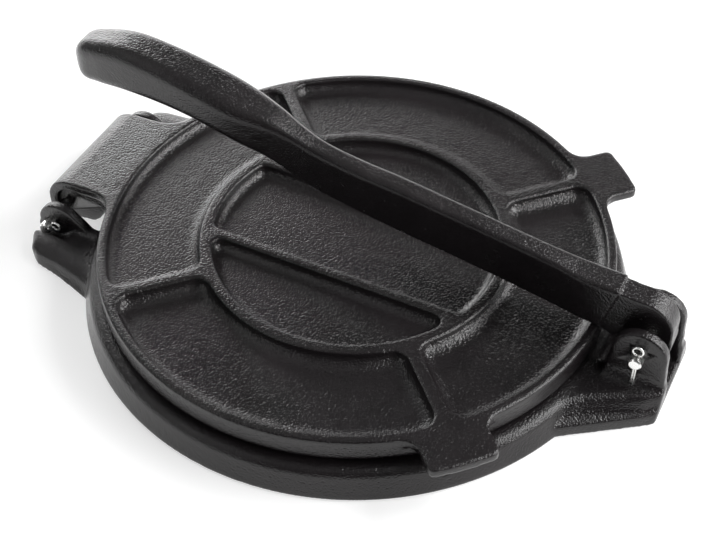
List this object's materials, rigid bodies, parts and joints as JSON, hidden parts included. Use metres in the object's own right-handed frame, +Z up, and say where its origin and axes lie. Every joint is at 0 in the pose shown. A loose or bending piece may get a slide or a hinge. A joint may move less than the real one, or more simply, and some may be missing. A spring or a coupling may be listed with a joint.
{
  "type": "tortilla press",
  "caption": "Cast iron tortilla press: a hinged upper plate closes on a round base, and a cranked lever pinned in a front clevis presses it down.",
  "frame": {"origin": "on the table, under the middle of the round plates and midway between the two ends of the press", "axes": "+Y from the lever's pin towards the plate hinge, +Z up, -X towards the near side in the picture"},
  "size_m": [0.218, 0.2628, 0.0866],
  "materials": {
    "base_iron": "satin seasoned sand casting",
    "plate_iron": "satin seasoned sand casting",
    "lever_iron": "satin seasoned sand casting",
    "pin_steel": "bright zinc",
    "cotter_steel": "bright zinc"
  },
  "bodies": {
    "base": {"base": "base_iron", "hinge_pin": "pin_steel", "lever_pin": "pin_steel", "hinge_cotter_left": "cotter_steel", "hinge_cotter_right": "cotter_steel", "lever_cotter_left": "cotter_steel", "lever_cotter_right": "cotter_steel"},
    "upper_plate": {"upper_plate": "plate_iron"},
    "lever": {"lever": "lever_iron"}
  },
  "joints": [
    {"name": "lever_swing", "type": "hinge", "parent": "base", "child": "lever", "pos_m": [0, -0.1192, 0.0257], "axis": [1, 0, 0], "range_deg": [0, 165]},
    {"name": "plate_hinge", "type": "hinge", "parent": "base", "child": "upper_plate", "pos_m": [0, 0.1244, 0.008], "axis": [-1, 0, 0], "range_deg": [0, 95]}
  ],
  "couplings": [
    {"joint": "plate_hinge", "follows": "lever_swing", "ratio": 0.08}
  ]
}
